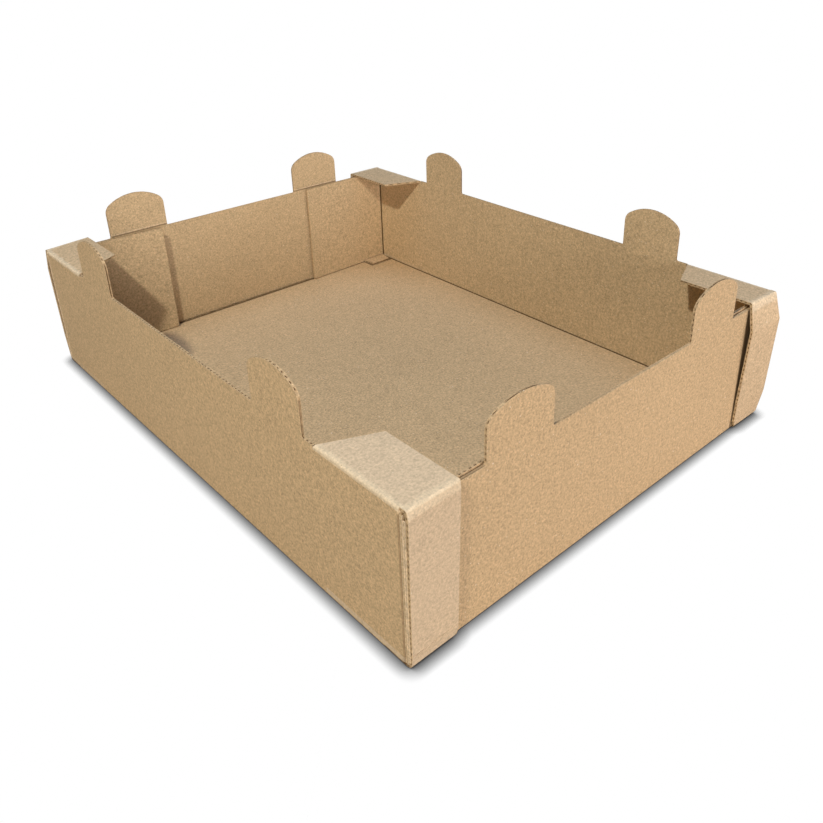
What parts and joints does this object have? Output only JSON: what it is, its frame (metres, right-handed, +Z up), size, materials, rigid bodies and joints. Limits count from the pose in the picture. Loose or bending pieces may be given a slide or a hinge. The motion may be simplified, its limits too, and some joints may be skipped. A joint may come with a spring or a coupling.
{
  "type": "cardboard tray box",
  "caption": "Open tray folded from one die-cut sheet of corrugated board, with stacking ears on its walls and plates over its locked corners, for carrying and stacking goods.",
  "frame": {"origin": "middle of the tray's floor outline, on the surface that the tray stands on", "axes": "+Z up, +Y along the long walls, +X across them from one long wall to the other"},
  "size_m": [0.317, 0.4264, 0.1245],
  "materials": {
    "kraft_board": "uncoated brown kraft liner, matt, with flutes open at the cut edges"
  },
  "bodies": {
    "root": {"tray": "kraft_board"}
  },
  "joints": []
}
